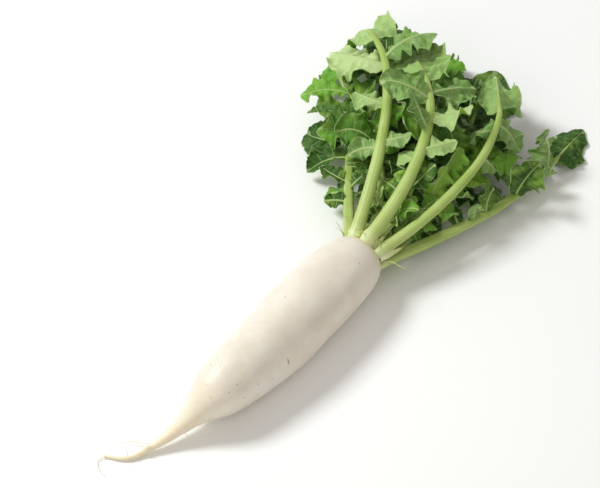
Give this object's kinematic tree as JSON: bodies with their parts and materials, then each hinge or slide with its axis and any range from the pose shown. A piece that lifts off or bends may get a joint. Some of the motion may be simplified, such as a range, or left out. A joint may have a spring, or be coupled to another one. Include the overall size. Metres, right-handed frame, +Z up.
{
  "type": "daikon radish",
  "caption": "Whole daikon radish lying on its side: a long white taproot with a thin curling tail and a fan of toothed green leaves on thick stalks.",
  "frame": {"origin": "middle of the small flat spot under the thickest part of the root, on the surface it rests on", "axes": "+X along the root towards the crown and the leaves, +Z up, +Y to the left of the root seen from its tail"},
  "size_m": [0.5305, 0.239, 0.105],
  "materials": {
    "root_skin": "satin cream white root skin",
    "leaf_upper": "leaf, mid green, upper face showing",
    "leaf_underside": "leaf, paler grey green, underside showing"
  },
  "bodies": {
    "root": {"root": "root_skin", "leaf_right_low": "leaf_upper", "leaf_right_high": "leaf_underside", "leaf_middle_high": "leaf_underside", "leaf_left_high": "leaf_underside", "leaf_left_low": "leaf_upper", "leaf_back_low": "leaf_upper", "leaf_under": "leaf_upper", "leaf_inner_top": "leaf_upper", "leaf_inner_right": "leaf_upper", "leaf_inner_left": "leaf_upper", "leaf_inner_back": "leaf_upper", "leaf_inner_low": "leaf_upper"}
  },
  "joints": []
}
